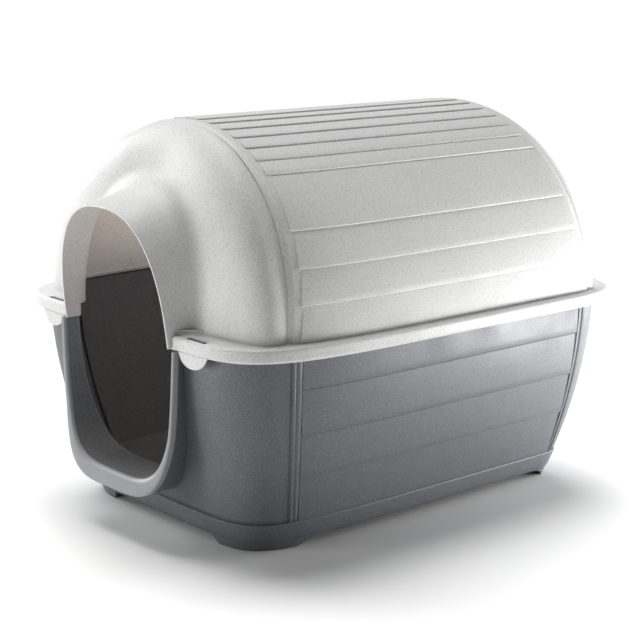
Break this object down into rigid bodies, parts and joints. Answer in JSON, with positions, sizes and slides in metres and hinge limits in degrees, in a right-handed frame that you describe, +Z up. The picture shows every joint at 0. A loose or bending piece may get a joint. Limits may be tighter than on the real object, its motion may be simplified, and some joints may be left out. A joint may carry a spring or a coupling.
{
  "type": "small calf or lamb hutch",
  "caption": "Two-part moulded plastic animal hutch: a tapered tub with a scooped doorway and a lift-off barrel roof with an arched entrance hood.",
  "frame": {"origin": "on the ground under the centre of the whole hutch", "axes": "+Z up, -Y out of the doorway, +X to the right of someone who faces the doorway's wall from outside"},
  "size_m": [0.692, 0.9332, 0.6771],
  "materials": {
    "roof_plastic": "fine-grained off-white plastic with grey and brown granite flecks",
    "tub_plastic": "fine-grained slate-grey plastic with pale granite flecks"
  },
  "bodies": {
    "tub": {"tub_side_wall_right": "tub_plastic", "tub_front_wall_right": "tub_plastic", "tub_front_rib_right": "tub_plastic", "tub_rear_rib_right": "tub_plastic", "tub_side_wall_left": "tub_plastic", "tub_front_wall_left": "tub_plastic", "tub_front_rib_left": "tub_plastic", "tub_rear_rib_left": "tub_plastic", "tub_rear_wall": "tub_plastic", "tub_front_apron": "tub_plastic", "tub_plinth_front_right": "tub_plastic", "tub_plinth_rear_right": "tub_plastic", "tub_plinth_rear_left": "tub_plastic", "tub_plinth_front_left": "tub_plastic", "tub_foot_front_right": "tub_plastic", "tub_foot_rear_right": "tub_plastic", "tub_foot_rear_left": "tub_plastic", "tub_foot_front_left": "tub_plastic", "tub_floor": "tub_plastic", "tub_ledge_front_right": "tub_plastic", "tub_ledge_side_right": "tub_plastic", "tub_ledge_front_left": "tub_plastic", "tub_ledge_side_left": "tub_plastic", "tub_ledge_rear": "tub_plastic", "scoop_wall_right": "tub_plastic", "scoop_wall_sill": "tub_plastic", "scoop_wall_left": "tub_plastic", "scoop_lip_right": "tub_plastic", "scoop_lip_sill": "tub_plastic", "scoop_lip_left": "tub_plastic", "latch_hook_right": "tub_plastic", "latch_hook_left": "tub_plastic"},
    "roof": {"roof_barrel_right": "roof_plastic", "roof_barrel_crown": "roof_plastic", "roof_barrel_left": "roof_plastic", "roof_front_hoop": "roof_plastic", "roof_rear_hoop": "roof_plastic", "roof_front_dome_right": "roof_plastic", "roof_front_dome_left": "roof_plastic", "roof_entrance_hood": "roof_plastic", "roof_rear_wall": "roof_plastic", "roof_rim_front_right": "roof_plastic", "roof_rim_side_right": "roof_plastic", "roof_rim_front_left": "roof_plastic", "roof_rim_side_left": "roof_plastic", "roof_rim_rear": "roof_plastic"},
    "latch_right": {"latch_tab_right": "roof_plastic"},
    "latch_left": {"latch_tab_left": "roof_plastic"}
  },
  "joints": [
    {"name": "roof_lift", "type": "slide", "parent": "tub", "child": "roof", "axis": [0, 0, 1], "range_m": [0, 0.35]},
    {"name": "latch_right_pull", "type": "hinge", "parent": "roof", "child": "latch_right", "pos_m": [0.1935, -0.4304, 0.34], "axis": [-1, 0, 0], "range_deg": [0, 10], "stiffness_Nm_per_rad": 0.5},
    {"name": "latch_left_pull", "type": "hinge", "parent": "roof", "child": "latch_left", "pos_m": [-0.1935, -0.4304, 0.34], "axis": [-1, 0, 0], "range_deg": [0, 10], "stiffness_Nm_per_rad": 0.5}
  ]
}
